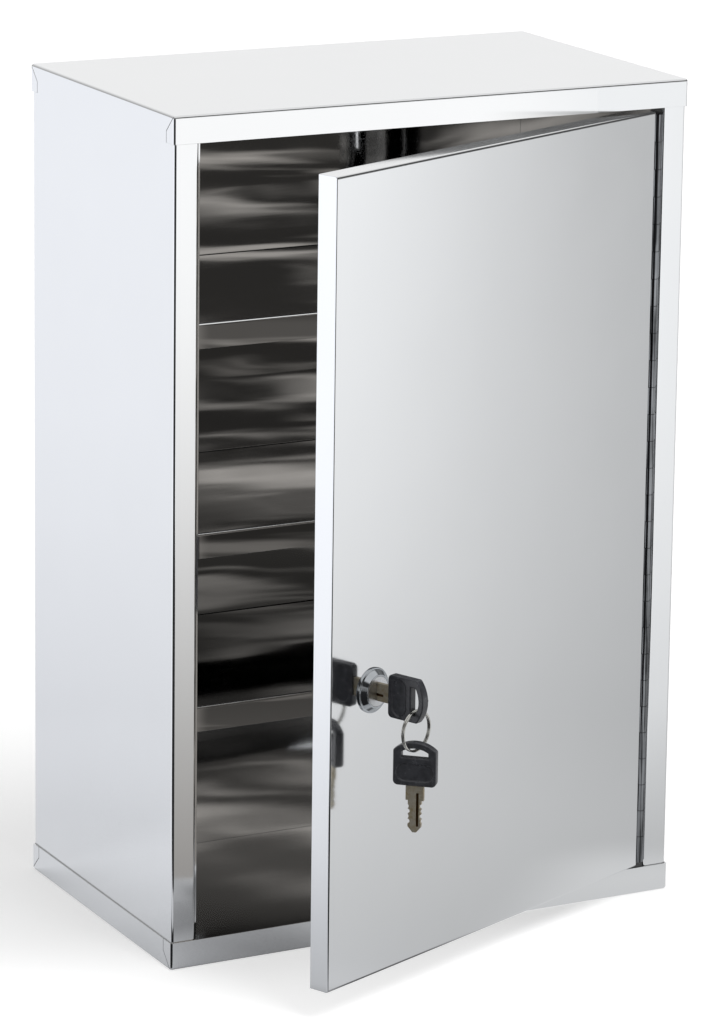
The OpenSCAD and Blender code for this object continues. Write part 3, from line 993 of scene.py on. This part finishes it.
def before_door(tree):
    """Brightness of the floor that the door's face sees: a table top with painted shade close to
    the door, and painted shade on the right where a flag would cast it."""
    table_level, door_level, painted_shade_right, fall_off = 1.11, 0.34, 0.54, 0.45
    x, y, _ = place_about(tree)
    behind = x * -0.2645 - y
    # Painted shade on the right, as a flag would cast
    distant = table_level - behind.climb(*PAINTED_SHADE_ACROSS) * x.climb(*PAINTED_SHADE_ALONG) * painted_shade_right
    # Painted shade close to the door
    close = (past_box(tree) / -fall_off).maths("EXPONENT")
    return distant - (distant - door_level) * close


def dark_sector(tree):
    """One on the sector of the floor that is painted dark to the left front bends."""
    corner = -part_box("bottom_tray")[1]
    turn = -radians(90 + bpy.context.scene.cabinet_stage.azimuth)
    ahead, aside, _ = place_about(tree, corner, turn)
    angle = aside.maths("ARCTAN2", ahead) * (180 / pi)
    # Farther off it is narrower, so that the closed door's front isn't dark
    narrowed = angle + past_box(tree, corner).climb(*SECTOR_NARROWS, 0.0, 20.0)
    # It leaves out the strip that the door's free edge sees
    flange = HINGE_POINT + SWING @ Vector((PAN_LOW.x, (PAN_LOW.y + PAN_HIGH.y) / 2, 0))
    out, off, _ = place_about(tree, flange, radians(RETURN_TURN))
    beside = abs(off) - (out * 0.06 + 0.018)
    strip = beside.climb(*RETURN_EDGE) * out.climb(*RETURN_START)
    return narrowed.climb(*SECTOR_LEFT) * angle.climb(*SECTOR_RIGHT) * (1 - strip)


def foot_light(tree, x, y, far):
    """The share of its glow that the floor keeps under the door and in the opening, where shade
    is painted on it.
    """
    middle = HINGE_POINT + SWING @ ((PAN_LOW + PAN_HIGH) / 2)
    half = (PAN_HIGH - PAN_LOW) / 2
    foot = past_box(tree, middle, DOOR_OPEN, half).climb(*FOOT, 0.0, 0.8)
    foot *= x.climb(*FOOT_RIGHT) * x.climb(*FOOT_LEFT)
    # The floor that the left stile's foot sees lies in the opening, and has painted shade there
    opening = x.climb(*OPENING_RIGHT, 0.0, 0.35) * y.climb(*OPENING_BACK) * x.climb(*OPENING_LEFT)
    opening *= far.climb(*OPENING_OUTER) * far.climb(*OPENING_INNER)
    return (1 - foot) * (1 - opening)


def floor_material():
    """White floor that keeps the object's shadow. To metal it glows as a table top with painted shade
    where the object stands, that ends in the painted dark of the room towards the camera."""
    material = bpy.data.materials.new("White floor")
    tree = empty_tree(material)
    x, y, _ = place_about(tree)
    far = past_box(tree, half=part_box("bottom_tray")[1])
    near = far.climb(*NEAR) * (around(x, y, NEAR_LEVELS) - 1.0) + 1.0
    # Painted shade: the glow that metal sees is darkened where the object hides the sky
    shade = add_node(tree, "ShaderNodeAmbientOcclusion", {"Distance": 1.5}, samples=6)
    open_sky = Number(tree, shade.outputs["AO"]) * 0.92 + 0.08
    table = around(x, y, FLOOR_LEVELS) * near * open_sky * (far / REACH).levels(REACH_LEVELS) * 1.1
    # The strip of floor that the door's face sees lies to the right of its free edge
    edge = HINGE_POINT + SWING @ Vector((PAN_LOW.x, PAN_LOW.y, 0))
    beyond, across, _ = place_about(tree, edge, radians(STRIP_TURN))
    strip = across.climb(*STRIP_EDGE) * beyond.climb(*STRIP_START)
    # Painted light: in the strip the glow is brighter close to the object, for the rail to mirror
    rail = far.climb(*RAIL_GLOW, 0.0, 0.16)
    seen = table + (before_door(tree) + rail - table) * strip
    # Painted shade: the dark sector, and the floor under the door and in the opening
    seen *= (1 - dark_sector(tree) * 0.97) * foot_light(tree, x, y, far)
    # The glow that metal sees is painted a little bluer to the left
    tint = tinted(x.climb(-0.3, 0.1), rgb("F8FAFF"), rgb("FDFEFF"))
    mirrored = glow(tree, seen, tint)
    matte = add_node(tree, "ShaderNodeBsdfDiffuse", {"Color": (0.55, 0.55, 0.55, 1)})
    # Painted light: in front the floor glows brighter, which lifts the shadow there
    fill = y.climb(0.0, -0.16) * x.climb(0.14, 0.0) * 0.23 + 0.46
    white = add_node(tree, "ShaderNodeAddShader", {0: matte, 1: glow(tree, fill)})
    finish(tree, matte, mirrored, white, "ShaderNodeOutputMaterial")
    return material


def glow(tree, strength, color=(1, 1, 1, 1)):
    """A shader that gives off light."""
    return add_node(tree, "ShaderNodeEmission", {"Color": color, "Strength": strength})


def finish(tree, plain, mirrored, shown, output):
    """Ends a tree with one shader for the camera, one for metal and one for all other rays."""
    rays = add_node(tree, "ShaderNodeLightPath").outputs
    surface = plain
    for ray, shader in (("Is Glossy Ray", mirrored), ("Is Camera Ray", shown)):
        surface = add_node(tree, "ShaderNodeMixShader", {0: rays[ray], 1: surface, 2: shader})
    add_node(tree, output, {"Surface": surface})


def light_world():
    """White to the camera, a plain grey level to matte surfaces, and to metal a pale backdrop,
    a bright ceiling and a dark band towards the camera and the right."""
    world = bpy.data.worlds.new("Studio")
    bpy.context.scene.world = world
    tree = empty_tree(world)
    toward = read(tree, "ShaderNodeTexCoord", "Generated")
    x, y, z = xyz(tree, toward)
    # Bands of furniture in the dark half of the room, at eye level
    bands = noise(toward, 0.05, (9, 9, 1), detail=2).spread(0.04, 0.62, 0.4, 0.62)
    eye = y.climb(-0.1, -0.4) * z.climb(0.36, 0.26)
    furnished = around(x, y, ROOM_LEVELS) + eye * bands
    room = furnished + z.climb(0.58, 0.7) * (0.85 - furnished)
    mirrored, plain, white = (
        add_node(tree, "ShaderNodeBackground", {"Color": (1, 1, 1, 1), "Strength": strength})
        for strength in (room, 0.6, 1.0)
    )
    finish(tree, plain, mirrored, white, "ShaderNodeOutputWorld")


def card(name, outline, behind, opacity, level, code):
    """A flat glowing card that only metal sees, which paints a reflection. Its outline is in x and z
    from the hinge, in the plane of the open door, at a distance behind its face."""
    bm = bmesh.new()
    points = [HINGE_POINT + SWING @ Vector((x, behind, z)) for x, z in outline]
    bm.faces.new([bm.verts.new(point) for point in points])
    material = bpy.data.materials.new(name)
    tree = empty_tree(material)
    # Painted reflection: the card glows only for metal to mirror
    lamp = glow(tree, level(tree), (*rgb(code), 1))
    clear = add_node(tree, "ShaderNodeBsdfTransparent")
    mix = add_node(tree, "ShaderNodeMixShader", {0: opacity(tree), 1: clear, 2: lamp})
    add_node(tree, "ShaderNodeOutputMaterial", {"Surface": mix})
    obj = make_object(name, bm, material)
    for ray in ("camera", "diffuse", "shadow", "transmission", "volume_scatter"):
        setattr(obj, "visible_" + ray, False)


def door_behind(tree):
    """One on a card where the door stands close behind it, and zero when it has been moved."""
    inputs = {"Distance": 80 * MM}
    shade = add_node(tree, "ShaderNodeAmbientOcclusion", inputs, samples=32, inside=True)
    # The floor closes off part of the view near a card's foot, which doesn't count
    floor = place_about(tree)[2].climb(80 * MM, 20 * MM, 0.0, 0.42)
    return (Number(tree, shade.outputs["AO"]) + floor).climb(0.93, 0.8)


def first_sight(tree):
    """How opaque the white cards are: clearer towards the foot and the hinge, and only for the
    first reflection, so that the inside and the door's top stay free of them."""
    along, _, height = place_about(tree, HINGE_POINT, DOOR_OPEN)
    first = read(tree, "ShaderNodeLightPath", "Ray Depth").maths("LESS_THAN", 1.5)
    facing = 1 - read(tree, "ShaderNodeNewGeometry", "Backfacing")
    return height.climb(-0.08, 0.4) * along.climb(-0.002, -0.1) * first * facing * door_behind(tree)


def streaks(tree):
    """Brightness of the card that the inside mirrors as painted reflections: level streaks, and a
    plain strip along the door's free edge."""
    along, _, height = place_about(tree, HINGE_POINT, DOOR_OPEN)
    share = height / PAN_HIGH.z
    place = read(tree, "ShaderNodeNewGeometry", "Position")
    lines = noise(place, 12 * MM, (16, 16, 1), detail=3).climb(0.47, 0.68, 0.0, 0.4)
    streaked = lines * share.levels(STREAK_LEVELS) + share.levels(GROUND_LEVELS)
    edge = along.climb(PAN_LOW.x + 45 * MM, PAN_LOW.x + 30 * MM)
    return streaked + (0.26 - streaked) * edge


def painted_reflection_cards():
    """Glowing white cards held close behind the door's free edge and top, whose painted reflections
    brighten the front frame, and a dark, streaked one behind the whole door, which the inside
    mirrors as painted reflections. They clear when the door is moved away."""
    free, foot, head = PAN_LOW.x, PAN_LOW.z, PAN_HIGH.z + 14 * MM
    behind = PAN_HIGH.y + 2.5 * MM
    upright = ((free, foot), (free, head), (free + 27 * MM, head), (free + 27 * MM, foot))
    top = ((free, head - 46 * MM), (free, head), (-1 * MM, head), (-1 * MM, head - 16 * MM))
    whole = ((free, foot), (free, PAN_HIGH.z), (-8 * MM, PAN_HIGH.z), (-8 * MM, foot))
    white = (first_sight, lambda tree: 1.13, "FFFFFF")
    card("card_upright", upright, behind, *white)
    card("card_top", top, behind + 0.2 * MM, *white)
    card("card_inside", whole, behind - 1 * MM, door_behind, streaks, "FFF8F0")


class CABINET_OT_stage(bpy.types.Operator):
    """Floor, soft light and the camera"""

    bl_idname = "cabinet.stage"
    bl_label = "Stage"

    def execute(self, context):
        stage = context.scene.cabinet_stage
        bm = bmesh.new()
        bmesh.ops.create_grid(bm, x_segments=1, y_segments=1, size=20)
        floor = make_object("floor", bm, floor_material())
        floor.location.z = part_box("bottom_tray")[0].z - 0.1 * MM
        light_world()
        painted_reflection_cards()
        # Broad, even light, as from a large softbox
        lamp = adjusted(bpy.data.lights.new("key_light", "SUN"), energy=2.0, angle=radians(35))
        aim_light = Vector((0.27, -0.4, 0.9)).to_track_quat("Z", "Y").to_euler()
        adjusted(make_object("key_light", lamp), rotation_euler=aim_light, visible_glossy=False)
        turn, rise = radians(stage.azimuth), radians(stage.elevation)
        back = Vector((-sin(turn) * cos(rise), -cos(turn) * cos(rise), sin(rise)))
        aim = Vector((39.07, 0, 322.3)) * MM
        look = (-back).to_track_quat("-Z", "Y") @ Quaternion((0, 0, 1), radians(stage.roll))
        camera = make_object("camera", bpy.data.cameras.new("camera"))
        camera.rotation_mode = "QUATERNION"
        adjusted(camera, location=aim + back * stage.distance, rotation_quaternion=look)
        # Size of the picture, and where the optical axis meets it, in pixels
        width, height, axis_x, axis_y = 705, 1024, 420, 300
        adjusted(
            camera.data, sensor_width=36, lens=stage.lens, clip_start=0.05, clip_end=100,
            shift_x=(width / 2 - axis_x) / height, shift_y=(axis_y - height / 2) / height,
        )
        context.scene.camera = camera
        context.scene.view_settings.view_transform = "Standard"
        return {"FINISHED"}


class CABINET_PT_panel(bpy.types.Panel):
    """Lists the pieces of the cabinet and their settings"""

    bl_label = "Medicine cabinet"
    bl_idname = "CABINET_PT_panel"
    bl_space_type = "VIEW_3D"
    bl_region_type = "UI"
    bl_category = "Cabinet"

    def draw(self, context):
        for operator in OPERATORS:
            self.layout.operator(operator.bl_idname)
        for name, group in GROUPS.items():
            box = self.layout.box()
            settings = getattr(context.scene, name)
            for key in group.__annotations__:
                box.prop(settings, key)


GROUPS = {
    "cabinet_sheet": SheetSettings,
    "cabinet_hinge": HingeSettings,
    "cabinet_lock": LockSettings,
    "cabinet_keys": KeySettings,
    "cabinet_stage": StageSettings,
}
OPERATORS = (
    CABINET_OT_body, CABINET_OT_shelves, CABINET_OT_door, CABINET_OT_welds, CABINET_OT_hinge,
    CABINET_OT_lock, CABINET_OT_keys, CABINET_OT_ring, CABINET_OT_stage,
)
CLASSES = (*GROUPS.values(), *OPERATORS, CABINET_PT_panel)


def register():
    for cls in CLASSES:
        bpy.utils.register_class(cls)
    for name, group in GROUPS.items():
        setattr(bpy.types.Scene, name, PointerProperty(type=group))


def unregister():
    for name in GROUPS:
        delattr(bpy.types.Scene, name)
    for cls in reversed(CLASSES):
        bpy.utils.unregister_class(cls)


def main():
    """Builds every piece and the stage."""
    register()
    for operator in OPERATORS:
        getattr(bpy.ops.cabinet, operator.bl_idname.split(".")[1])()


if __name__ == "__main__":
    main()
